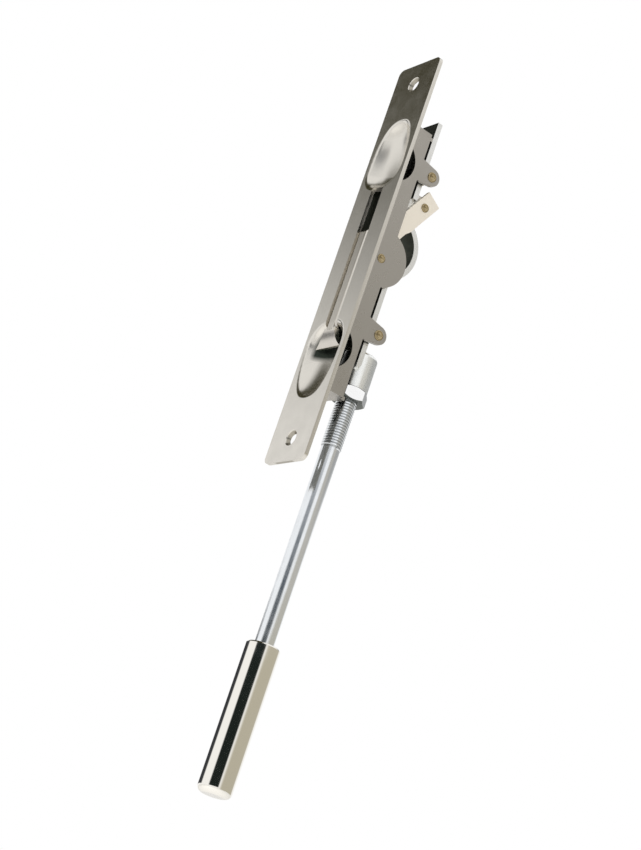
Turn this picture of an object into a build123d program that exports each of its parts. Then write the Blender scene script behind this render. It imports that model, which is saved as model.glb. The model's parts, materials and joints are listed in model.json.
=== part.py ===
from build123d import *
import os
from math import cos, radians, sin, sqrt, tan

os.makedirs("parts", exist_ok=True)

# Flush bolt for a metal door: a face plate with a flip lever, a sliding bar and a long rod with a bolt tip
# X runs across the face plate, Y runs into the door and Z is up
# Depths below run from the plate's front face, and finished pieces have Y 0 at its back face, on the door
# The lever lies down in the plate here and the bolt is drawn back by its full throw

# Face plate
plate_length = 171.45
plate_width = 25.4
plate_thickness = 1.6
plate_corner = 2.5
screw_inset = 9.525
screw_hole_radius = 2.1
countersink_radius = 3.2
countersink_angle = 82

# Finger scoops, pressed into the plate above and below the lever's slot. The lower one starts nearer the
# middle, to clear the lever's flared tip, and the slot runs into both
scoop_height = 38.0
scoop_half_width = 10.3
scoop_depth = 6.0
scoop_outer_reach = 20.6
scoop_inner_reach = 7.4
tip_scoop_inner_reach = 9.0
scoop_rim_radius = 2.2
slot_end_inset = 5.5

# Linkage, with the bolt's throw and the angles that the lever and the links lean back by at rest
throw = 19.05
pivot_depth = 5.9
crank_lean = 7.5
link_lean = 29.6
link_length = 23.0
pivot_pin_radius = 1.5
crank_pin_radius = 1.7
running_clearance = 0.05
side_clearance = 0.3

# Flip lever
lever_width = 6.4
lever_slot_clearance = 0.5
lever_sunk = 0.2
lever_thickness = 2.5
lever_heel_height = 11.7
lever_tip_beyond = 0.2
lever_tip_width = 15.0
lever_tip_dip = 1.8
lever_tip_thickness = 1.2
lever_flare_length = 8.6
hub_radius = 4.5
crank_eye_radius = 3.5

# Links, one on each side of the slide bar
link_inner_face = 5.5
link_thickness = 1.6
link_half_width = 3.7
link_neck_half_width = 3.1
link_neck_length = 8.7
link_shoulder_length = 11.0
link_end_reach = 5.9
crank_pin_reach = 7.4
slide_pin_reach = 7.5

# Housing, a folded channel behind the plate
housing_width = 19.0
housing_length = 112.8
housing_depth = 9.6
wall_thickness = 1.5
web_thickness = 1.5
web_length = 56.0
web_window_width = 8.6
bump_radius = 11.5
bump_rise = 0.6
ear_radius = 3.6
ear_root_half_width = 4.6
upper_ear_rise = 11.4
lower_ear_height = -27.5
notch_beyond = 1.6
notch_half_length = 8.1
notch_depth = 6.8
scoop_clearance = 0.3
end_tab_width = 15.2

# Pins, rivets, sleeves and washers in the housing
rivet_radius = 1.5
rivet_head_radius = 2.0
rivet_head_height = 0.45
pin_head_height = 0.3
sleeve_radius = 2.3
washer_thickness = 0.5
spacer_radius = 2.6
fit_clearance = 0.02

# Slide bar
slide_front = 11.9
slide_thickness = 2.1
slide_width = 14.6
slide_top = 64.0
slide_end_gap = 6.6
guide_clearance = 0.2
rivet_clearance = 0.1
guide_bar_height = 5.0
guide_bar_thickness = 1.6
hump_centre_depth = 9.3
hump_inner_radius = 12.1
hump_fillet = 1.6
neck_clearance = 1.0

# Lug that holds the slide pin behind the slide bar
lug_width = 10.0
lug_reach = 1.6
lug_half_height = 4.5
lug_seat_clearance = 0.15
lug_mouth_angle = 33.0

# Coupling barrel, lock nut, extension rod and bolt tip, all on the bolt's own axis
backset = 17.46
barrel_radius = 6.35
barrel_top = -34.0
barrel_height = 14.3
barrel_roof = 1.5
barrel_edge_radius = 1.3
thread_radius = 3.97
thread_root_radius = 3.5
thread_pitch = 1.058
thread_flank = 0.42
thread_clearance = 0.05
rod_top = -40.0
thread_end = -72.5
rod_radius = 3.6
nut_width = 12.7
nut_height = 4.76
nut_gap = 0.1
nut_turned = 16.0
nut_chamfer_drop = 0.7
tip_radius = 6.35
tip_length = 55.56
tip_end = -205.56
tip_socket_depth = 14.0
tip_top_chamfer = 0.6
tip_end_radius = 2.4

# Sizes that follow from the ones above
screw_spacing = plate_length - 2 * screw_inset
slot_width = lever_width + 2 * lever_slot_clearance
slot_end_height = scoop_height - slot_end_inset
notch_height = scoop_height + notch_beyond
lever_tip_height = scoop_height + lever_tip_beyond
lever_flare_height = lever_tip_height - lever_flare_length
scoop_arc_radius = (scoop_half_width**2 + scoop_depth**2) / (2 * scoop_depth)
scoop_arc_depth = scoop_depth - scoop_arc_radius
wall_outer = housing_width / 2
wall_inner = wall_outer - wall_thickness
crank_radius = throw / 2 / cos(radians(crank_lean))
crank_pin_depth = pivot_depth + crank_radius * sin(radians(crank_lean))
crank_pin_height = throw / 2
link_back = sin(radians(link_lean))
link_up = cos(radians(link_lean))
slide_pin_depth = crank_pin_depth + link_length * link_back
slide_pin_height = crank_pin_height + link_length * link_up
upper_ear_height = slide_pin_height + upper_ear_rise
link_outer_face = link_inner_face + link_thickness
slide_back = slide_front + slide_thickness
rivet_depth = slide_back + rivet_clearance + rivet_radius
guide_depth = slide_front - guide_clearance
barrel_bottom = barrel_top - barrel_height
slide_bottom = barrel_bottom + slide_end_gap
neck_half_width = link_inner_face - side_clearance
link_edge_depth = crank_pin_depth - link_half_width * link_up
link_edge_height = crank_pin_height + link_half_width * link_back
neck_top = link_edge_height + (slide_back - link_edge_depth) * link_up / link_back + neck_clearance
neck_bottom = crank_pin_height - hump_inner_radius - slide_thickness
nut_corner = nut_width / sqrt(3)
tip_top = tip_end + tip_length
nut_top = barrel_bottom - nut_gap
notch_radius = (notch_half_length**2 + (notch_depth - plate_thickness) ** 2) / (
    2 * (notch_depth - plate_thickness)
)

bolt_axis = Axis((0, backset, 0), (0, 0, 1))


def keep(part, name):
    """Moves a finished piece to the door's face, names it and writes it."""
    piece = part.moved(Location((0, -plate_thickness, 0)))
    piece.label = name
    export_step(piece, f"parts/{name}.step")


def scoop_form(grow):
    """The round hollow of both finger scoops, or the same form grown by a thickness all round."""
    outer = scoop_outer_reach + grow
    deep = scoop_depth + grow
    with BuildPart() as form:
        for side, inner_reach in ((1, scoop_inner_reach), (-1, tip_scoop_inner_reach)):
            inner = inner_reach + grow
            middle = side * scoop_height
            with BuildSketch(Plane.YZ):
                with BuildLine():
                    EllipticalCenterArc((0, middle), deep, inner, 270 if side == 1 else 0, arc_size=90)
                    EllipticalCenterArc((0, middle), deep, outer, 0 if side == 1 else 270, arc_size=90)
                    Polyline(
                        (0, middle + side * outer),
                        (scoop_arc_depth, middle + side * outer),
                        (scoop_arc_depth, middle - side * inner),
                        (0, middle - side * inner),
                    )
                make_face()
            revolve(axis=Axis((0, scoop_arc_depth, 0), (0, 0, 1)))
    return form.part


def cross_pin(radius, reach, depth, height, head_radius=0.0, head_height=0.0):
    """A pin across the housing, with a low head on each end where it is riveted over."""
    with BuildPart() as pin:
        with BuildSketch(Plane.YZ.offset(-reach)):
            with Locations((depth, height)):
                Circle(radius)
        extrude(amount=2 * reach)
        if head_height:
            with BuildSketch(Plane.YZ.offset(reach)):
                with Locations((depth, height)):
                    Circle(head_radius)
            extrude(amount=head_height)
            chamfer(pin.edges().filter_by(GeomType.CIRCLE).sort_by(Axis.X)[-1], head_height / 2)
            with BuildSketch(Plane.YZ.offset(-reach)):
                with Locations((depth, height)):
                    Circle(head_radius)
            extrude(amount=-head_height)
            chamfer(pin.edges().filter_by(GeomType.CIRCLE).sort_by(Axis.X)[0], head_height / 2)
    return pin.part


def ring(outer_radius, bore_radius, inner_face, outer_face, depth, height, side):
    """A sleeve, spacer or washer on a cross pin, right of the middle for side 1 and left for -1."""
    with BuildPart() as sleeve:
        with BuildSketch(Plane.YZ.offset(side * inner_face)):
            with Locations((depth, height)):
                Circle(outer_radius)
                Circle(bore_radius, mode=Mode.SUBTRACT)
        extrude(amount=side * (outer_face - inner_face))
    return sleeve.part


# Face plate with two screw holes, the lever's slot and the two scoops
scoop_hollow = scoop_form(0)
scoop_back = scoop_form(plate_thickness)
with BuildPart() as scoop_bulge:
    with BuildSketch(Plane.XZ.offset(-plate_thickness / 2)):
        Rectangle(plate_width, plate_length)
    extrude(amount=-(scoop_depth + plate_thickness))
    add(scoop_back, mode=Mode.INTERSECT)

with BuildPart() as face_plate:
    with BuildSketch(Plane.XZ):
        RectangleRounded(plate_width, plate_length, plate_corner)
    extrude(amount=-plate_thickness)
    add(scoop_bulge.part)
    add(scoop_hollow, mode=Mode.SUBTRACT)
    rim = face_plate.edges().group_by(Axis.Y)[0].filter_by(
        lambda edge: abs(edge.center().X) < plate_width / 2 - plate_corner
        and abs(edge.center().Z) < scoop_height + scoop_outer_reach
    )
    fillet(rim, scoop_rim_radius)
    with BuildSketch(Plane.XZ):
        Rectangle(slot_width, 2 * slot_end_height)
    extrude(amount=-(scoop_depth + 2 * plate_thickness), mode=Mode.SUBTRACT)
    with Locations(Plane.XZ):
        with Locations((0, screw_spacing / 2), (0, -screw_spacing / 2)):
            CounterSinkHole(
                radius=screw_hole_radius,
                counter_sink_radius=countersink_radius,
                depth=plate_thickness,
                counter_sink_angle=countersink_angle,
            )
keep(face_plate.part, "face_plate")

# Housing walls with the bump around the lever's crank and the ears for the guide rivets
scoop_gap = scoop_form(plate_thickness + scoop_clearance)
with BuildPart() as housing:
    with BuildSketch(Plane.YZ.offset(wall_inner)) as wall:
        with Locations((pivot_depth, bump_rise)):
            Circle(bump_radius)
        for ear_height in (upper_ear_height, lower_ear_height):
            with BuildSketch(mode=Mode.PRIVATE) as ear:
                with Locations((rivet_depth, ear_height)):
                    Circle(ear_radius)
                with Locations((housing_depth - ear_root_half_width / 2, ear_height)):
                    Rectangle(ear_root_half_width, 2 * ear_root_half_width)
                make_hull()
            add(ear.sketch)
        with Locations((housing_depth / 2, 0)):
            Rectangle(housing_depth, housing_length)
        with Locations((plate_thickness - housing_depth, 0)):
            Rectangle(2 * housing_depth, housing_length, mode=Mode.SUBTRACT)
        with Locations(
            (notch_depth - notch_radius, notch_height), (notch_depth - notch_radius, -notch_height)
        ):
            Circle(notch_radius, mode=Mode.SUBTRACT)
        with Locations((pivot_depth, 0)):
            Circle(pivot_pin_radius + fit_clearance, mode=Mode.SUBTRACT)
        with Locations((rivet_depth, upper_ear_height), (rivet_depth, lower_ear_height)):
            Circle(rivet_radius + fit_clearance, mode=Mode.SUBTRACT)
    extrude(amount=wall_thickness)
    mirror(about=Plane.YZ)
    with BuildSketch(Plane.XZ.offset(-plate_thickness)):
        Rectangle(2 * wall_inner, web_length)
        Rectangle(web_window_width, web_length, mode=Mode.SUBTRACT)
    extrude(amount=-web_thickness)
    for end in (1, -1):
        with BuildSketch(Plane.XY.offset(end * housing_length / 2)):
            with Locations((0, (plate_thickness + housing_depth) / 2)):
                Rectangle(2 * wall_inner, housing_depth - plate_thickness)
            with Locations((0, (housing_depth + guide_depth) / 2)):
                Rectangle(end_tab_width, guide_depth - housing_depth)
        extrude(amount=-end * wall_thickness)
    add(scoop_gap, mode=Mode.SUBTRACT)
    with BuildSketch(Plane.XY.offset(-housing_length / 2)):
        with Locations((0, backset)):
            Circle(nut_corner + side_clearance)
    extrude(amount=wall_thickness, mode=Mode.SUBTRACT)
keep(housing.part, "housing")

# Guide bars, across the housing in front of the slide bar
for name, height in (("upper_guide_bar", upper_ear_height), ("lower_guide_bar", lower_ear_height)):
    with BuildPart() as guide_bar:
        with BuildSketch(Plane.XZ.offset(-guide_depth)):
            with Locations((0, height)):
                Rectangle(2 * wall_inner, guide_bar_height)
        extrude(amount=guide_bar_thickness)
    keep(guide_bar.part, name)

# Guide rivets, through the ears behind the slide bar
upper_rivet = cross_pin(
    rivet_radius, wall_outer, rivet_depth, upper_ear_height, rivet_head_radius, rivet_head_height
)
lower_rivet = cross_pin(
    rivet_radius, wall_outer, rivet_depth, lower_ear_height, rivet_head_radius, rivet_head_height
)
with BuildPart() as guide_rivets:
    add([upper_rivet, lower_rivet])
keep(guide_rivets.part, "guide_rivets")

# Pivot pin with its sleeves and the wave washers that hold the lever by friction
pivot_pin = cross_pin(
    pivot_pin_radius, wall_outer, pivot_depth, 0, pivot_pin_radius + pin_head_height, pin_head_height
)
keep(pivot_pin, "pivot_pin")
sleeve_bore = pivot_pin_radius + running_clearance
washer_inner = wall_inner - washer_thickness
sleeve_start = lever_width / 2 + 2 * running_clearance
for name, side in (("right_pivot_sleeve", 1), ("left_pivot_sleeve", -1)):
    keep(ring(sleeve_radius, sleeve_bore, sleeve_start, washer_inner, pivot_depth, 0, side), name)
right_washer = ring(sleeve_radius, sleeve_bore, washer_inner, wall_inner, pivot_depth, 0, 1)
left_washer = ring(sleeve_radius, sleeve_bore, washer_inner, wall_inner, pivot_depth, 0, -1)
with BuildPart() as wave_washers:
    add([right_washer, left_washer])
keep(wave_washers.part, "wave_washers")

# Flip lever: a bar with a flared tip, a hub on the pivot and a crank that carries the links
lever_back = lever_sunk + lever_thickness
with BuildPart() as flip_lever:
    with BuildSketch(Plane.YZ.offset(-lever_tip_width / 2)):
        with BuildLine():
            heel = Line((lever_back, lever_heel_height), (lever_sunk, lever_heel_height))
            front = Line(heel @ 1, (lever_sunk, -lever_flare_height))
            dip = TangentArc(
                (front @ 1, (lever_sunk + lever_tip_dip, -lever_tip_height)), tangent=front % 1
            )
            back = Line(heel @ 0, (lever_back, -lever_flare_height))
            under = TangentArc(
                (back @ 1, (lever_sunk + lever_tip_dip + lever_tip_thickness, -lever_tip_height)),
                tangent=back % 1,
            )
            Line(dip @ 1, under @ 1)
        make_face()
    extrude(amount=lever_tip_width)
    with BuildSketch(Plane.XZ):
        with BuildLine():
            side = Line((lever_width / 2, lever_heel_height), (lever_width / 2, -lever_flare_height))
            flare = TangentArc(
                (side @ 1, (lever_tip_width / 2, -lever_tip_height)), tangent=side % 1
            )
            Line(flare @ 1, (0, -lever_tip_height))
            Line((0, lever_heel_height), side @ 0)
            mirror(about=Plane.YZ)
        make_face()
    extrude(amount=-(lever_back + lever_tip_dip), mode=Mode.INTERSECT)
    with BuildSketch(Plane.YZ.offset(-lever_width / 2)) as crank:
        with Locations((pivot_depth, 0)):
            Circle(hub_radius)
        with Locations((crank_pin_depth, crank_pin_height)):
            Circle(crank_eye_radius)
        with Locations(((lever_back + pivot_depth) / 2, 0)):
            Rectangle(pivot_depth - lever_back, 2 * hub_radius)
        make_hull()
        with Locations(((lever_sunk + crank_pin_depth) / 2, lever_heel_height / 2)):
            Rectangle(crank_pin_depth - lever_sunk, lever_heel_height)
    extrude(amount=lever_width)
    with BuildSketch(Plane.YZ.offset(-lever_width / 2)):
        with Locations((pivot_depth, 0)):
            Circle(pivot_pin_radius + running_clearance)
        with Locations((crank_pin_depth, crank_pin_height)):
            Circle(crank_pin_radius + fit_clearance)
    extrude(amount=lever_width, mode=Mode.SUBTRACT)
keep(flip_lever.part, "flip_lever")

# Crank pin, pressed into the lever's crank, with a spacer against each link
crank_pin = cross_pin(crank_pin_radius, crank_pin_reach, crank_pin_depth, crank_pin_height)
keep(crank_pin, "crank_pin")
for name, side in (("right_crank_spacer", 1), ("left_crank_spacer", -1)):
    spacer = ring(
        spacer_radius,
        crank_pin_radius + fit_clearance,
        lever_width / 2,
        link_inner_face - 2 * running_clearance,
        crank_pin_depth,
        crank_pin_height,
        side,
    )
    keep(spacer, name)

# Links, from the crank pin back to the slide pin, narrower where they pass the pivot sleeve
link_plane = Plane(
    origin=(link_inner_face, crank_pin_depth, crank_pin_height),
    x_dir=(0, link_back, link_up),
    z_dir=(1, 0, 0),
)
with BuildPart() as right_link:
    with BuildSketch(link_plane):
        Circle(link_neck_half_width)
        with Locations((link_neck_length / 2, 0)):
            Rectangle(link_neck_length, 2 * link_neck_half_width)
        with BuildLine():
            Polyline(
                (link_neck_length, link_neck_half_width),
                (link_shoulder_length, link_half_width),
                (link_length + link_end_reach, link_half_width),
                (link_length + link_end_reach, -link_half_width),
                (link_shoulder_length, -link_half_width),
                (link_neck_length, -link_neck_half_width),
                close=True,
            )
        make_face()
        Circle(crank_pin_radius + running_clearance, mode=Mode.SUBTRACT)
        with Locations((link_length, 0)):
            Circle(crank_pin_radius + fit_clearance, mode=Mode.SUBTRACT)
    extrude(amount=link_thickness)
keep(right_link.part, "right_link")
with BuildPart() as left_link:
    add(right_link.part.mirror(Plane.YZ))
keep(left_link.part, "left_link")

# Slide pin, fast in both links
slide_pin = cross_pin(crank_pin_radius, slide_pin_reach, slide_pin_depth, slide_pin_height)
keep(slide_pin, "slide_pin")

# Slide bar: a strip with a hump over the crank, a neck that the links straddle and a fork for the barrel
with BuildPart() as slide_bar:
    with BuildSketch(Plane.YZ.offset(-slide_width / 2)):
        with Locations((hump_centre_depth, crank_pin_height)):
            Circle(hump_inner_radius + slide_thickness)
        with Locations((slide_front - slide_top, crank_pin_height)):
            Rectangle(2 * slide_top, 2 * slide_top, mode=Mode.SUBTRACT)
        with Locations(((slide_front + slide_back) / 2, (slide_top + slide_bottom) / 2)):
            Rectangle(slide_thickness, slide_top - slide_bottom)
        with Locations((hump_centre_depth, crank_pin_height)):
            Circle(hump_inner_radius, mode=Mode.SUBTRACT)
    extrude(amount=slide_width)
    roots = slide_bar.edges().filter_by(Axis.X).filter_by(
        lambda edge: abs(edge.center().Y - slide_back) < fit_clearance
        and slide_bottom < edge.center().Z < neck_top
    )
    fillet(roots, hump_fillet)
    for side in (1, -1):
        with BuildSketch(Plane.YZ.offset(side * neck_half_width)):
            with Locations((hump_centre_depth + hump_inner_radius / 2, (neck_top + neck_bottom) / 2)):
                Rectangle(2 * hump_inner_radius, neck_top - neck_bottom)
        extrude(amount=side * slide_width, mode=Mode.SUBTRACT)
    with BuildSketch(Plane.XY.offset(barrel_top)):
        with Locations((0, backset)):
            Circle(barrel_radius)
    extrude(amount=slide_bottom - barrel_top, mode=Mode.SUBTRACT)
keep(slide_bar.part, "slide_bar")

# Lug with an open mouth, where the slide pin seats at both ends of the throw
mouth_run = lug_reach + crank_pin_radius + throw
mouth_rise = mouth_run * tan(radians(lug_mouth_angle))
seat_radius = crank_pin_radius + lug_seat_clearance
seat_up = seat_radius * cos(radians(lug_mouth_angle))
seat_back = seat_radius * sin(radians(lug_mouth_angle))
with BuildPart() as pin_lug:
    with BuildSketch(Plane.YZ.offset(-lug_width / 2)):
        with Locations(((slide_back + slide_pin_depth + lug_reach) / 2, slide_pin_height)):
            Rectangle(slide_pin_depth + lug_reach - slide_back, 2 * lug_half_height)
        with Locations((slide_pin_depth, slide_pin_height)):
            Circle(seat_radius, mode=Mode.SUBTRACT)
            with BuildLine(mode=Mode.PRIVATE) as mouth:
                Polyline(
                    (-seat_back, seat_up),
                    (mouth_run, seat_up + mouth_rise),
                    (mouth_run, -seat_up - mouth_rise),
                    (-seat_back, -seat_up),
                    close=True,
                )
            add(make_face(mouth.edges(), mode=Mode.PRIVATE), mode=Mode.SUBTRACT)
    extrude(amount=lug_width)
keep(pin_lug.part, "pin_lug")

# Coupling barrel, brazed into the fork at the slide bar's lower end, with a blind bore for the rod
with BuildPart() as coupling_barrel:
    with BuildSketch(Plane.XY.offset(barrel_bottom)):
        with Locations((0, backset)):
            Circle(barrel_radius)
    extrude(amount=barrel_height)
    fillet(coupling_barrel.edges().group_by(Axis.Z)[-1], barrel_edge_radius)
    with BuildSketch(Plane.XY.offset(barrel_bottom)):
        with Locations((0, backset)):
            Circle(thread_radius + thread_clearance)
    extrude(amount=barrel_height - barrel_roof, mode=Mode.SUBTRACT)
keep(coupling_barrel.part, "coupling_barrel")

# Lock nut, under the barrel, with both its corners turned down
nut_bottom = nut_top - nut_height
with BuildPart() as lock_nut:
    with BuildSketch(Plane.XY.offset(nut_bottom)):
        with Locations((0, backset)):
            RegularPolygon(nut_corner, 6, rotation=nut_turned)
    extrude(amount=nut_height)
    with BuildSketch(Plane.YZ):
        with BuildLine():
            Polyline(
                (backset, nut_bottom),
                (backset + nut_width / 2, nut_bottom),
                (backset + nut_corner, nut_bottom + nut_chamfer_drop),
                (backset + nut_corner, nut_top - nut_chamfer_drop),
                (backset + nut_width / 2, nut_top),
                (backset, nut_top),
                close=True,
            )
        make_face()
    revolve(axis=bolt_axis, mode=Mode.INTERSECT)
    with BuildSketch(Plane.XY.offset(nut_bottom)):
        with Locations((0, backset)):
            Circle(thread_radius + thread_clearance)
    extrude(amount=nut_height, mode=Mode.SUBTRACT)
keep(lock_nut.part, "lock_nut")

# Extension rod, with its thread as rings of the thread's own pitch
thread_turns = int((rod_top - thread_end) / thread_pitch)
rod_end = tip_top - tip_socket_depth
thread_points = [(backset, rod_top), (backset + thread_root_radius, rod_top)]
for turn in range(thread_turns):
    turn_top = rod_top - turn * thread_pitch
    thread_points.append((backset + thread_radius, turn_top - thread_flank))
    thread_points.append((backset + thread_radius, turn_top - thread_pitch + thread_flank))
    thread_points.append((backset + thread_root_radius, turn_top - thread_pitch))
with BuildPart() as extension_rod:
    with BuildSketch(Plane.YZ):
        with BuildLine():
            Polyline(
                *thread_points,
                (backset + rod_radius, thread_end),
                (backset + rod_radius, rod_end),
                (backset, rod_end),
                close=True,
            )
        make_face()
    revolve(axis=bolt_axis)
keep(extension_rod.part, "extension_rod")

# Bolt tip, pressed onto the rod's lower end
with BuildPart() as bolt_tip:
    with BuildSketch(Plane.XY.offset(tip_end)):
        with Locations((0, backset)):
            Circle(tip_radius)
    extrude(amount=tip_length)
    chamfer(bolt_tip.edges().group_by(Axis.Z)[-1], tip_top_chamfer)
    fillet(bolt_tip.edges().group_by(Axis.Z)[0], tip_end_radius)
    with BuildSketch(Plane.XY.offset(tip_top)):
        with Locations((0, backset)):
            Circle(rod_radius + fit_clearance)
    extrude(amount=-tip_socket_depth, mode=Mode.SUBTRACT)
keep(bolt_tip.part, "bolt_tip")
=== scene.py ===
# %% [markdown]
# # A flush bolt for a metal door
#
# The object is a plated steel flush bolt: a face plate with two pressed finger scoops, a flip lever in
# its slot, a linkage in a folded housing and a long rod that ends in a round bolt. The CAD model is
# loaded first as a fixed frame. Every piece made here is built on it in metres, with Z up, the plate's
# face towards -Y and Y 0 at the plate's back.

# %% Load the frame
import math

import bpy
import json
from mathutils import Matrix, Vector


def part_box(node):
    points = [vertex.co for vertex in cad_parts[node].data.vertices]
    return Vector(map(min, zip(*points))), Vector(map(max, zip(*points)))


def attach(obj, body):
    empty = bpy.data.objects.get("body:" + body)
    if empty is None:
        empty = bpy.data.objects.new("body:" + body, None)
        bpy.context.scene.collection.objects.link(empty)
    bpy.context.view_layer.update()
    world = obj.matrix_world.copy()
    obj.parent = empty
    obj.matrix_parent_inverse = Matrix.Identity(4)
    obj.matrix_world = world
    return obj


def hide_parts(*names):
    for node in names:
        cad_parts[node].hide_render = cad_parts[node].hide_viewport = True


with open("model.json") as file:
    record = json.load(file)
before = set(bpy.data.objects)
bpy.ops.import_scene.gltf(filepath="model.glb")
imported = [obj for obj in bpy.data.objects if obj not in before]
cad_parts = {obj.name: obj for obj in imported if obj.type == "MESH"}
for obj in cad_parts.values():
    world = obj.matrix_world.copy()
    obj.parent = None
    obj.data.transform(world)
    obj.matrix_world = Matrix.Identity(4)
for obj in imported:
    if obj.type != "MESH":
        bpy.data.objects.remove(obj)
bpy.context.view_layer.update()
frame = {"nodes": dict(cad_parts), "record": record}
nodes = frame["nodes"]

# %% [markdown]
# ## Helpers
# An operator works on all that is selected, so everything is deselected before each piece. Colours are
# written as sRGB hex, as a colour picker shows them, and one function turns them to linear.

# %% Helpers
MM = 0.001


def deselect():
    """Leaves nothing selected, so that an operator only meets its own piece."""
    bpy.ops.object.select_all(action="DESELECT")


def linear(hex_colour):
    """An sRGB hex colour as linear red, green, blue and alpha."""
    values = [int(hex_colour[i : i + 2], 16) / 255 for i in (0, 2, 4)]
    return tuple(v / 12.92 if v <= 0.04045 else ((v + 0.055) / 1.055) ** 2.4 for v in values) + (1.0,)


def add_node(tree, kind, inputs=None, **settings):
    """Adds a node, applies its settings, and links or sets its inputs by name or number."""
    node = tree.nodes.new(kind)
    for key, value in settings.items():
        setattr(node, key, value)
    for key, value in (inputs or {}).items():
        if isinstance(value, bpy.types.NodeSocket):
            tree.links.new(value, node.inputs[key])
        else:
            node.inputs[key].default_value = value
    return node


# %% [markdown]
# ## Metal finishes
# Every piece is plated steel, but no two finishes look the same: satin nickel on the face, a duller
# plating inside, bright zinc on the rod and polished nickel on the bolt. Metal has hardly any colour of
# its own, so the roughness and the fine scratches do most of the work. Each finish has a soft cloud that
# varies its roughness, and a fine grain drawn out along the way it was rolled, brushed or drawn.

# %% One function for the plated metals
CLOUDS_PER_METRE = 180.0  # a soft cloud every 5.6 mm


def plated_metal(name, colour, roughness, grain_mm, grain_stretch, grain_depth_mm, cloud=0.04, tint=0.06):
    """A metal whose roughness varies by cloud and its colour by tint, with a grain along Z.

    The grain's lines are grain_mm apart, grain_stretch times as long as wide, and grain_depth_mm deep.
    """
    material = bpy.data.materials.new(name)
    material.use_nodes = True
    tree = material.node_tree
    shader = tree.nodes["Principled BSDF"]
    shader.inputs["Metallic"].default_value = 1.0
    place = add_node(tree, "ShaderNodeTexCoord").outputs["Object"]
    mottle = add_node(
        tree,
        "ShaderNodeTexNoise",
        {"Vector": place, "Scale": CLOUDS_PER_METRE, "Detail": 4.0, "Roughness": 0.6},
    ).outputs["Fac"]
    smoothest, roughest = roughness - cloud, roughness + cloud
    rough = add_node(
        tree,
        "ShaderNodeMapRange",
        {"Value": mottle, "From Min": 0.3, "From Max": 0.7, "To Min": smoothest, "To Max": roughest},
    ).outputs["Result"]
    darker = tuple(c * (1 - tint) for c in linear(colour)[:3]) + (1.0,)
    tinted = add_node(
        tree, "ShaderNodeMix", {0: mottle, 6: linear(colour), 7: darker}, data_type="RGBA"
    ).outputs[2]
    stretched = add_node(
        tree, "ShaderNodeMapping", {"Vector": place, "Scale": (1.0, 1.0, 1.0 / grain_stretch)}
    ).outputs["Vector"]
    grain = add_node(
        tree, "ShaderNodeTexNoise", {"Vector": stretched, "Scale": 1000.0 / grain_mm, "Detail": 2.0}
    ).outputs["Fac"]
    bump = add_node(
        tree, "ShaderNodeBump", {"Height": grain, "Distance": grain_depth_mm * MM, "Strength": 1.0}
    ).outputs["Normal"]
    for socket, value in (("Base Color", tinted), ("Roughness", rough), ("Normal", bump)):
        tree.links.new(value, shader.inputs[socket])
    print("finish", name, "with roughness", roughness)
    return material


# %% The finishes
# Satin nickel, brushed lengthwise: a soft pale sheen in which the studio is only a glow.
satin_nickel = plated_metal("satin_nickel_plate", "dedad2", 0.19, 0.5, 12.0, 0.0006, 0.03, 0.05)
# The same plating on the cast lever, a shade darker and softer.
lever_nickel = plated_metal("satin_nickel_lever", "d6d1c8", 0.21, 0.5, 12.0, 0.0006, 0.03, 0.05)
# Plated sheet, folded and never buffed: grey, cloudy and without clear reflections.
housing_plating = plated_metal("plated_sheet_housing", "b1ada6", 0.30, 1.4, 3.0, 0.0006, 0.05, 0.07)
# Sheet in a long rolled strip: paler, with faint lines along it.
slide_plating = plated_metal("plated_sheet_slide", "f0f0ee", 0.28, 0.8, 8.0, 0.0008, 0.05, 0.06)
# Small stampings that came pale and almost matt out of the bath.
link_plating = plated_metal("plated_sheet_link", "fff8ec", 0.52, 0.8, 2.0, 0.0006, 0.04, 0.03)
# Drawn wire for the pins: glossy and yellowish, darker than the sheet around it.
pin_steel = plated_metal("plated_pin_steel", "a89876", 0.16, 0.4, 1.0, 0.0004)
# Bright zinc on a drawn rod: a cold shine that long shallow waves break into streaks.
bright_zinc = plated_metal("bright_zinc", "eef1f4", 0.15, 1.1, 40.0, 0.022)
# The same zinc on the turned barrel, where it shines softly.
zinc_barrel = plated_metal("bright_zinc_turned", "f7f8f6", 0.27, 0.8, 1.0, 0.0006)
# And on the nut, whose flats are bright planes.
zinc_nut = plated_metal("bright_zinc_nut", "fafafa", 0.16, 0.8, 1.0, 0.0006, 0.03, 0.02)
# Nickel polished on a wheel: nearly a mirror, so the studio's cards are sharp bands in it.
polished_nickel = plated_metal("polished_nickel", "f2efe8", 0.05, 0.4, 20.0, 0.0002, 0.02, 0.02)

# %% [markdown]
# ## Places with a finish of their own, or painted shade
# A piece isn't the same all over: it is dull where it was never buffed, and painted dark as shade where
# little light reaches. Such a place could be given a second material face by face, but its edge would
# then be as hard as the mesh. Here it is a mask in the piece's own coordinates, made from where a point
# lies and which way its face looks, so it fades, and it stays on the piece when this moves.

# %% Retouch a finish
PLACE, FACING = "Object", "Normal"


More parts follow.
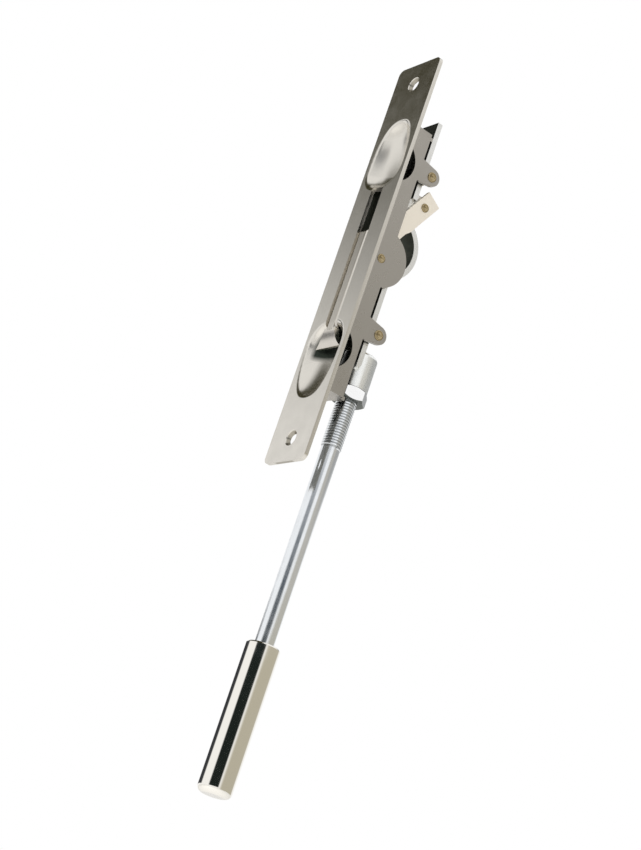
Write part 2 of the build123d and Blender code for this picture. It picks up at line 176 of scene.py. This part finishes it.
def retouch(material, limits, colour=None, roughness=0.5, mask=1.0):
    """Changes a finish where every limit is met, and where mask is 1 if one is given; its colours are
    mostly painted shade.

    A limit is PLACE, in millimetres, or FACING, then an axis, written |Z| for a size without its sign, and
    the values at which the change begins and is full.
    """
    tree = material.node_tree
    shader = tree.nodes["Principled BSDF"]
    coordinates = add_node(tree, "ShaderNodeTexCoord").outputs
    for source, axis, begins, full in limits:
        unit = MM if source == PLACE else 1.0
        axes = add_node(tree, "ShaderNodeSeparateXYZ", {"Vector": coordinates[source]}).outputs
        value = axes[axis.strip("|")]
        if "|" in axis:
            value = add_node(tree, "ShaderNodeMath", {0: value}, operation="ABSOLUTE").outputs["Value"]
        met = add_node(
            tree, "ShaderNodeMapRange", {"Value": value, "From Min": begins * unit, "From Max": full * unit}
        ).outputs["Result"]
        mask = add_node(tree, "ShaderNodeMath", {0: mask, 1: met}, operation="MULTIPLY").outputs["Value"]
    if colour:
        old = shader.inputs["Base Color"].links[0].from_socket
        mixed = add_node(tree, "ShaderNodeMix", {0: mask, 6: old, 7: linear(colour)}, data_type="RGBA")
        tree.links.new(mixed.outputs[2], shader.inputs["Base Color"])
    old = shader.inputs["Roughness"].links[0].from_socket
    mixed = add_node(tree, "ShaderNodeMix", {0: mask, 2: old, 3: roughness}, data_type="FLOAT")
    tree.links.new(mixed.outputs[0], shader.inputs["Roughness"])
    print("retouched", material.name, "by", len(limits), "limits")


# %% [markdown]
# ## Dull inside, with painted shade
# The housing and the slide bar were plated in one bath with the rest but never buffed inside, so they are
# rougher there, and hardly any light gets in, so their colour is painted dark there as shade. The painted
# shade begins at the walls' inner faces and ends at the housing's two end tabs. On the slide bar it is the
# front, down to 33 mm below the plate's middle.

# %% Inside of the housing and front of the slide bar
# The colour that is painted on the insides as shade.
PAINTED_SHADE_INSIDE = "4a4e46"
retouch(
    housing_plating,
    [(PLACE, "|X|", 8.2, 8.1), (PLACE, "|Z|", 54.8, 54.4), (FACING, "Y", 0.3, 0.1)],
    PAINTED_SHADE_INSIDE,
)
retouch(
    slide_plating,
    [(FACING, "|X|", 0.5, 0.3), (FACING, "Y", -0.02, -0.12), (PLACE, "Z", -33.0, -32.0)],
    PAINTED_SHADE_INSIDE,
)

# %% [markdown]
# ## The face plate's other finishes and painted shade
# The finger scoops are blasted after pressing, so they are rougher than the flat face around them, and
# depth alone finds them. The back is painted a darker grey as shade, and the scoops' bulges on it nearly
# black, as the housing's shade. The floor of the lower scoop is painted nearly black, as shade, where it
# runs in under the lever's tip. The countersinks can't be brushed as the face was, so they are a little
# rougher, and they are darker.

# %% Scoops, back, bulges, the place under the tip and the countersinks
retouch(satin_nickel, [(PLACE, "Y", -1.45, -0.6)], None, 0.27)
# The back, painted a darker grey as shade.
retouch(satin_nickel, [(PLACE, "Y", -0.2, -0.1), (FACING, "Y", 0.1, 0.3)], "9a9a96")
# The scoops' bulges behind the plate, painted nearly black as shade.
retouch(satin_nickel, [(PLACE, "Y", 0.2, 0.4), (FACING, "Y", -0.01, 0.01)], "30332e")
# The floor under the lever's tip, painted nearly black as shade.
retouch(
    satin_nickel,
    [(PLACE, "Y", -0.1, 1.2), (PLACE, "Z", -42.6, -40.2), (PLACE, "Z", 0.0, -1.0)],
    "3a403a",
)
retouch(
    satin_nickel,
    [
        (PLACE, "|Z|", 70.0, 71.0),
        (PLACE, "Y", -1.5, -1.2),
        (PLACE, "Y", -0.1, -0.2),
        (PLACE, "|X|", 6.0, 5.0),
    ],
    "a39e92",
    0.24,
)

# %% [markdown]
# ## Painted shade on the zinc pieces
# The barrel's front stands in the housing's notch, the thread's root lies between its bright crests, and
# little light reaches the nut's underside, so all three are painted darker as shade. The root is found by
# its distance from the bolt's axis, squared, because that needs no square root.

# %% Barrel, nut and the thread's root
# The barrel's front and the nut's underside, painted darker as shade.
retouch(zinc_barrel, [(FACING, "Y", -0.7, -0.8), (PLACE, "Z", -44.0, -42.0)], "3a3d39")
retouch(zinc_nut, [(FACING, "Z", -0.3, -0.8)], "6a6d69")


def middle(node):
    """The middle of a node's box."""
    low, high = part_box(node)
    return [(a + b) / 2 for a, b in zip(low, high)]


_, bolt_y, _ = middle("bolt_tip")
print("the bolt's axis is at Y", round(bolt_y / MM, 3), "mm")
# From the first radius to the second, towards the thread's root, the zinc is painted darker as shade.
UNSHADED_RADIUS, FULL_SHADE_RADIUS = 3.9 * MM, 3.66 * MM
tree = bright_zinc.node_tree
place = add_node(tree, "ShaderNodeTexCoord").outputs["Object"]
x, y, _ = add_node(tree, "ShaderNodeSeparateXYZ", {"Vector": place}).outputs
behind = add_node(tree, "ShaderNodeMath", {0: y, 1: bolt_y}, operation="SUBTRACT").outputs["Value"]
behind = add_node(tree, "ShaderNodeMath", {0: behind, 1: behind}, operation="MULTIPLY").outputs["Value"]
squared = add_node(
    tree, "ShaderNodeMath", {0: x, 1: x, 2: behind}, operation="MULTIPLY_ADD"
).outputs["Value"]
near_root = add_node(
    tree, "ShaderNodeMapRange", {"Value": squared, "From Min": UNSHADED_RADIUS**2, "From Max": FULL_SHADE_RADIUS**2}
).outputs["Result"]
retouch(bright_zinc, [(PLACE, "Z", -72.6, -72.2)], "bec1c2", 0.3, near_root)

# %% [markdown]
# ## One finish for each node
# A CAD node keeps its mesh and gets its finish in its material slots. The pieces made further down take
# theirs from the same list.

# %% Give the CAD nodes their finishes
finishes = {
    "face_plate": satin_nickel,
    "flip_lever": lever_nickel,
    "housing": housing_plating,
    "upper_guide_bar": housing_plating,
    "lower_guide_bar": housing_plating,
    "guide_rivets": pin_steel,
    "pivot_pin": pin_steel,
    "left_pivot_sleeve": pin_steel,
    "right_pivot_sleeve": pin_steel,
    "wave_washers": pin_steel,
    "crank_pin": pin_steel,
    "left_crank_spacer": pin_steel,
    "right_crank_spacer": pin_steel,
    "left_link": link_plating,
    "right_link": link_plating,
    "slide_pin": pin_steel,
    "slide_bar": slide_plating,
    "pin_lug": slide_plating,
    "coupling_barrel": zinc_barrel,
    "lock_nut": zinc_nut,
    "extension_rod": bright_zinc,
    "bolt_tip": polished_nickel,
}
for name, material in finishes.items():
    for material_slot in nodes[name].material_slots:
        material_slot.material = material
print("nodes with a finish", len(finishes), "of", len(nodes))

# %% [markdown]
# ## Bodies and finishes
# A new piece takes the place of a CAD node, moves with the node's body and keeps its finish. The body is
# looked up in the imported record and the finish in the list above, so one function can hand any piece
# over.

# %% Hand a piece over
record = frame["record"]
body_of = {node: body for body, names in record["behaviour"]["bodies"].items() for node in names}


def hand_over(piece, node):
    """Gives a finished piece its node's finish and body, and hides the node."""
    piece.data.materials.clear()
    piece.data.materials.append(finishes[node])
    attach(piece, body_of[node])
    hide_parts(node)
    print(piece.name, "on", body_of[node], "with", len(piece.data.polygons), "faces")


# %% [markdown]
# ## Stamped pieces with eased edges
# A stamped or folded sheet never has a knife edge: the die and the plating round it by a tenth of a
# millimetre or two, and that thin round is what catches the light. It could be modelled edge by edge, but
# the CAD solids already have the right shape, so each is copied, its triangles are merged back to whole
# faces, and a Bevel modifier rounds what is sharper than 35 degrees. Weighted normals then keep the flats
# flat.

# %% Copy a CAD node and ease its edges
MERGE = 0.001 * MM


def merged_copy(node, name):
    """A copy of a CAD node as whole faces with its own mesh, ready for edit work."""
    deselect()
    nodes[node].select_set(True)
    bpy.context.view_layer.objects.active = nodes[node]
    bpy.ops.object.duplicate()
    piece = bpy.context.object
    piece.name = name
    bpy.ops.mesh.customdata_custom_splitnormals_clear()
    bpy.ops.object.mode_set(mode="EDIT")
    bpy.ops.mesh.select_all(action="SELECT")
    bpy.ops.mesh.remove_doubles(threshold=MERGE)
    bpy.ops.mesh.dissolve_limited(angle_limit=math.radians(0.5))
    bpy.ops.mesh.select_all(action="DESELECT")
    bpy.ops.object.mode_set(mode="OBJECT")
    return piece


def ease_edges(piece, width_mm, segments=2):
    """Rounds the sharp edges of a piece and smooths its curved faces."""
    bevel = piece.modifiers.new("eased", "BEVEL")
    bevel.width = width_mm * MM
    bevel.segments = segments
    bevel.limit_method = "ANGLE"
    bevel.angle_limit = math.radians(35)
    bevel.miter_outer = "MITER_ARC"
    bpy.ops.object.modifier_apply(modifier="eased")
    bpy.ops.object.shade_smooth_by_angle(angle=math.radians(32))
    flat = piece.modifiers.new("flat", "WEIGHTED_NORMAL")
    flat.keep_sharp = True
    bpy.ops.object.modifier_apply(modifier="flat")


# %% Plate, housing, links, slide bar and nut
for node, width_mm in (
    ("face_plate", 0.12),
    ("housing", 0.2),
    ("right_link", 0.18),
    ("left_link", 0.18),
    ("slide_bar", 0.18),
    ("pin_lug", 0.18),
    ("lock_nut", 0.15),
):
    piece = merged_copy(node, "eased_" + node)
    ease_edges(piece, width_mm)
    hand_over(piece, node)

# %% [markdown]
# ## Lever with a crowned bar
# The lever is a cast piece whose bar is crowned, so a thumb slides over it, and the crown shows as a
# bright ridge beside the slot. Its long front edges are bevelled wide, in edit mode, before the fine
# easing.

# %% Crowned lever
CROWN = 1.9 * MM
HALF_BAR = 3.2 * MM
NEAR = 0.02 * MM


def select_edges(piece, test):
    """Goes to edit mode with the edges selected whose two ends pass the test."""
    mesh = piece.data
    for vertex in mesh.vertices:
        vertex.select = bool(test(vertex.co))
    for polygon in mesh.polygons:
        polygon.select = False
    for edge in mesh.edges:
        edge.select = all(mesh.vertices[i].select for i in edge.vertices)
    bpy.context.tool_settings.mesh_select_mode = (False, True, False)
    bpy.ops.object.mode_set(mode="EDIT")


lever = merged_copy("flip_lever", "crowned_lever")
front = min(v.co.y for v in lever.data.vertices)
select_edges(lever, lambda co: co.y < front + NEAR and abs(abs(co.x) - HALF_BAR) < NEAR)
bpy.ops.mesh.bevel(offset=CROWN, segments=8, profile=0.45, affect="EDGES", clamp_overlap=False)
bpy.ops.object.mode_set(mode="OBJECT")
ease_edges(lever, 0.15)
hand_over(lever, "flip_lever")

# %% [markdown]
# ## Peened pins
# The ends of the pins and rivets were hammered over with a pointed punch, so each is a low dome with a
# dimple. A cylinder across the housing is the start. The rim of each end is bevelled to the dome, and
# three insets make the dimple, the last two of them going in.

# %% Peened pins
DOME_MM = 0.3
TOUCH = 1e-6


def peened_pin(name, radius_mm, reach_mm, y, z):
    """A pin along X with domed and dimpled ends, reach_mm to each side of the middle."""
    radius, reach = radius_mm * MM, reach_mm * MM
    deselect()
    bpy.ops.mesh.primitive_cylinder_add(
        vertices=32, radius=radius, depth=2 * reach, location=(0, y, z), rotation=(0, math.pi / 2, 0)
    )
    pin = bpy.context.object
    pin.name = name
    bpy.ops.object.transform_apply(location=True, rotation=True, scale=True)
    select_edges(pin, lambda co: abs(abs(co.x) - reach) < TOUCH)
    bpy.ops.mesh.bevel(offset=min(DOME_MM, radius_mm / 4) * MM, segments=3, affect="EDGES")
    bpy.ops.object.mode_set(mode="OBJECT")
    for part in (*pin.data.vertices, *pin.data.edges):
        part.select = False
    for polygon in pin.data.polygons:
        polygon.select = abs(polygon.normal.x) > 0.99
    bpy.context.tool_settings.mesh_select_mode = (False, False, True)
    bpy.ops.object.mode_set(mode="EDIT")
    for width, depth in ((0.22, 0.0), (0.16, -0.16), (0.18, -0.08)):
        bpy.ops.mesh.inset(thickness=width * radius, depth=depth * radius)
    bpy.ops.object.mode_set(mode="OBJECT")
    bpy.ops.object.shade_smooth_by_angle(angle=math.radians(50))
    return pin


for node, radius_mm in (("pivot_pin", 1.8), ("crank_pin", 1.7), ("slide_pin", 1.7)):
    low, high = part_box(node)
    _, pin_y, pin_z = middle(node)
    hand_over(peened_pin("peened_" + node, radius_mm, high[0] / MM, pin_y, pin_z), node)

# %% Guide rivets
low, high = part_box("guide_rivets")
rivet_radius = (high[1] - low[1]) / 2
_, rivet_y, _ = middle("guide_rivets")
rivets = [
    peened_pin("peened_rivet_%d" % i, rivet_radius / MM, high[0] / MM, rivet_y, z)
    for i, z in enumerate((high[2] - rivet_radius, low[2] + rivet_radius))
]
deselect()
for rivet in rivets:
    rivet.select_set(True)
bpy.context.view_layer.objects.active = rivets[0]
bpy.ops.object.join()
rivets[0].name = "peened_guide_rivets"
hand_over(rivets[0], "guide_rivets")

# %% [markdown]
# ## Rod with a rolled thread
# The rod's upper end carries a fine rolled thread, 24 turns to the inch. It could be a stack of rings, as
# the CAD model has it, but a thread is a helix, and the slanted turns show. A small plane is shaped to
# the section of one ridge, and a Screw modifier winds it round a core. The core and the plain rod below
# it are two cylinders with eased upper rims.

# %% Measures of the rod
PITCH = 25.4 / 24 * MM
rod_low, rod_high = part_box("extension_rod")
crest = (rod_high[0] - rod_low[0]) / 2
root = 3.58 * MM
body_radius = 3.6 * MM
thread_low = -72.3 * MM
thread_top = rod_high[2] - 0.5 * MM
turns = int((thread_top - thread_low) / PITCH)
print("thread", turns, "turns, crest", round(crest / MM, 2), "mm, root", round(root / MM, 2), "mm")

# %% Wind the thread
SUNK = 0.1 * MM  # the ridge reaches this far into the core
CREST_SHARE, FOOT_SHARE = 0.4, 0.98  # widths of the ridge, of the pitch

deselect()
bpy.ops.mesh.primitive_plane_add(size=PITCH, location=(0, bolt_y, thread_low))
ridge = bpy.context.object
bpy.ops.object.mode_set(mode="EDIT")
bpy.ops.mesh.select_all(action="SELECT")
bpy.ops.transform.rotate(
    value=math.pi / 2, orient_axis="X", center_override=(0, bolt_y, thread_low)
)
bpy.ops.object.mode_set(mode="OBJECT")
for vertex in ridge.data.vertices:
    outer = vertex.co.x > 0
    vertex.co.x = crest if outer else root - SUNK
    vertex.co.z *= CREST_SHARE if outer else FOOT_SHARE
winding = ridge.modifiers.new("winding", "SCREW")
winding.axis = "Z"
winding.screw_offset = PITCH
winding.iterations = turns
winding.steps = winding.render_steps = 40
winding.use_smooth_shade = False
bpy.ops.object.modifier_apply(modifier="winding")
bpy.ops.object.mode_set(mode="EDIT")
bpy.ops.mesh.select_all(action="SELECT")
bpy.ops.mesh.remove_doubles(threshold=MERGE)
bpy.ops.mesh.fill_holes(sides=4)
bpy.ops.mesh.normals_make_consistent(inside=False)
bpy.ops.object.mode_set(mode="OBJECT")
print("thread faces", len(ridge.data.polygons))

# %% Core and plain rod
shanks = []
for radius, top, bottom, rim_mm in (
    (root, rod_high[2], thread_low - 1.0 * MM, 0.3),
    (body_radius, thread_low, rod_low[2], 0.1),
):
    deselect()
    bpy.ops.mesh.primitive_cylinder_add(
        vertices=64, radius=radius, depth=top - bottom, location=(0, bolt_y, (top + bottom) / 2)
    )
    shank = bpy.context.object
    bpy.ops.object.transform_apply(location=True, rotation=True, scale=True)
    select_edges(shank, lambda co: co.z > top - TOUCH)
    bpy.ops.mesh.bevel(offset=rim_mm * MM, segments=2, affect="EDGES")
    bpy.ops.object.mode_set(mode="OBJECT")
    bpy.ops.object.shade_smooth_by_angle(angle=math.radians(15))
    shanks.append(shank)

# %% Join the rod
deselect()
ridge.select_set(True)
bpy.context.view_layer.objects.active = ridge
bpy.ops.object.transform_apply(location=True, rotation=True, scale=True)
bpy.ops.object.shade_smooth_by_angle(angle=math.radians(32))
for shank in shanks:
    shank.select_set(True)
bpy.ops.object.join()
ridge.name = "threaded_rod"
hand_over(ridge, "extension_rod")

# %% [markdown]
# ## Camera
# The photograph was taken from the right, in front of and below the bolt, with a long lens. The lens, the
# place and the turn were solved from the plate's four corners and the bolt's axis and width.

# %% Camera
camera_data = bpy.data.cameras.new("camera")
camera_data.lens = 84.268
camera_data.sensor_width = 36.0
camera = bpy.data.objects.new("camera", camera_data)
camera.location = (0.589155, -0.346609, -0.3039)
camera.rotation_mode = "QUATERNION"
camera.rotation_quaternion = (0.451447, 0.765312, 0.278591, 0.364526)
bpy.context.scene.collection.objects.link(camera)
bpy.context.scene.camera = camera
print("camera", [round(v, 3) for v in camera.location], "lens", round(camera_data.lens, 1))

# %% [markdown]
# ## Studio
# Bare metal shows its surroundings more than itself, so the studio gives each piece its tones. It could
# be built from panels round the object, but these would stand in the way of other views, so it is drawn
# in the world: white walls with cards hung in front of them. A card is a window in azimuth and in
# elevation with soft edges. Azimuth 0 is to the right of the plate, 90 behind it and -90 in front of it.
# The camera looks up, so an upright face shows the low part of the studio at the bolt and the high part
# at the plate.

# %% Directions in the world
world = bpy.data.worlds.new("studio")
bpy.context.scene.world = world
world.use_nodes = True
tree = world.node_tree
direction = add_node(tree, "ShaderNodeTexCoord").outputs["Generated"]
east, north, height = add_node(tree, "ShaderNodeSeparateXYZ", {"Vector": direction}).outputs
azimuth = add_node(tree, "ShaderNodeMath", {0: north, 1: east}, operation="ARCTAN2").outputs["Value"]


# %% A card in the studio
def up(degrees):
    """The height on the unit sphere of an elevation in degrees."""
    return math.sin(math.radians(degrees))


def hang_card(studio, across, heights, shade):
    """Lays a card of one shade over the studio's colour.

    across is its azimuth, half its width and its soft edge, in degrees. heights are pairs of elevations, at
    which the card begins and is full.
    """
    centre, half, edge = (math.radians(degrees) for degrees in across)
    turn = add_node(tree, "ShaderNodeMath", {0: azimuth, 1: centre}, operation="SUBTRACT").outputs["Value"]
    turn = add_node(
        tree, "ShaderNodeMath", {0: turn, 1: math.pi, 2: -math.pi}, operation="WRAP"
    ).outputs["Value"]
    away = add_node(tree, "ShaderNodeMath", {0: turn}, operation="ABSOLUTE").outputs["Value"]
    limits = [(away, half + edge, half - edge)]
    limits += [(height, up(begins), up(full)) for begins, full in heights]
    mask = 1.0
    for value, begins, full in limits:
        met = add_node(
            tree,
            "ShaderNodeMapRange",
            {"Value": value, "From Min": begins, "From Max": full},
            interpolation_type="SMOOTHSTEP",
        ).outputs["Result"]
        mask = add_node(tree, "ShaderNodeMath", {0: mask, 1: met}, operation="MULTIPLY").outputs["Value"]
    mixed = add_node(tree, "ShaderNodeMix", {0: mask, 6: studio, 7: linear(shade)}, data_type="RGBA")
    return mixed.outputs[2]


# %% Hang the cards
WHITE = (1.0, 1.0, 1.0, 1.0)
BOLT_BAND = [(14, 12.6), (4, 7)]
ROD_BAND = [(20, 16), (11, 12)]
cards = (
    # Warm grey cards on the right, for the faces that look that way.
    ((56, 42, 6), [(33, 17)], "c4c0b8"),
    ((45, 50, 12), [(14, 12.4)], "bdb8a8"),
    ((45, 32, 6), [(17, 19), (27, 20)], "b4b0a7"),
    # A dark olive flag on the left that gathers with height, so the plate is darker towards its top.
    ((-165, 63, 14), [(17.2, 29.3)], "3b3824"),
    # A neutral grey card at the back, for the nut's right flat.
    ((97, 46, 10), [(15.5, 19), (34, 28)], "a1a2a2"),
    # Dark bands that only the rod, or only the polished bolt, is low enough to show.
    ((-48, 22, 8), ROD_BAND, "58616a"),
    ((-168, 28, 6), BOLT_BAND, "3a3c40"),
    ((-48, 32, 5), BOLT_BAND, "1e2422"),
)
studio = WHITE
for across, heights, shade in cards:
    studio = hang_card(studio, across, heights, shade)
print("cards in the studio", len(cards))

# %% [markdown]
# ## What each ray sees
# The cards are there for reflections alone. The lens sees plain white, as in the photograph, and all
# other light comes evenly from a pale grey, so that a colour renders about as it is written.

# %% Give each ray its world
EVEN_LIGHT = (0.9, 0.9, 0.9, 1.0)
rays = add_node(tree, "ShaderNodeLightPath").outputs
mirror_rays = add_node(
    tree, "ShaderNodeMath", {0: rays["Is Glossy Ray"], 1: rays["Is Transmission Ray"]}, operation="MAXIMUM"
).outputs["Value"]
seen = add_node(
    tree, "ShaderNodeMix", {0: mirror_rays, 6: EVEN_LIGHT, 7: studio}, data_type="RGBA"
).outputs[2]
seen = add_node(
    tree, "ShaderNodeMix", {0: rays["Is Camera Ray"], 6: seen, 7: WHITE}, data_type="RGBA"
).outputs[2]
tree.links.new(seen, tree.nodes["Background"].inputs["Color"])
print("world nodes", len(tree.nodes))

# %% [markdown]
# ## Floor and lamp
# The photograph shows the bolt on plain white, so the pale matt floor lies well below it. One soft lamp
# from the front and above gives the dull finishes some shape, and no reflection shows it.

# %% Floor
FLOOR_Z = -0.55
deselect()
bpy.ops.mesh.primitive_plane_add(size=6.0, location=(0, 0, 0))
floor = bpy.context.object
floor.name = "floor"
for vertex in floor.data.vertices:
    vertex.co.z = FLOOR_Z
floor_paint = bpy.data.materials.new("pale_floor")
floor_paint.use_nodes = True
shader = floor_paint.node_tree.nodes["Principled BSDF"]
shader.inputs["Base Color"].default_value = linear("f4f3f1")
shader.inputs["Roughness"].default_value = 0.9
floor.data.materials.append(floor_paint)
print("floor at", FLOOR_Z, "m")

# %% Lamp
lamp_data = bpy.data.lights.new("soft_box", "AREA")
lamp_data.energy = 12.0
lamp_data.size = 0.8
lamp = bpy.data.objects.new("soft_box", lamp_data)
lamp.location = (0.3, -0.9, 0.9)
lamp.visible_glossy = False
lamp.rotation_euler = (-lamp.location).to_track_quat("-Z", "Y").to_euler()
bpy.context.scene.collection.objects.link(lamp)
print("lamp", lamp_data.energy, "W")

# %% [markdown]
# ## Finish

# %% Finish
bpy.context.scene.view_settings.view_transform = "Standard"
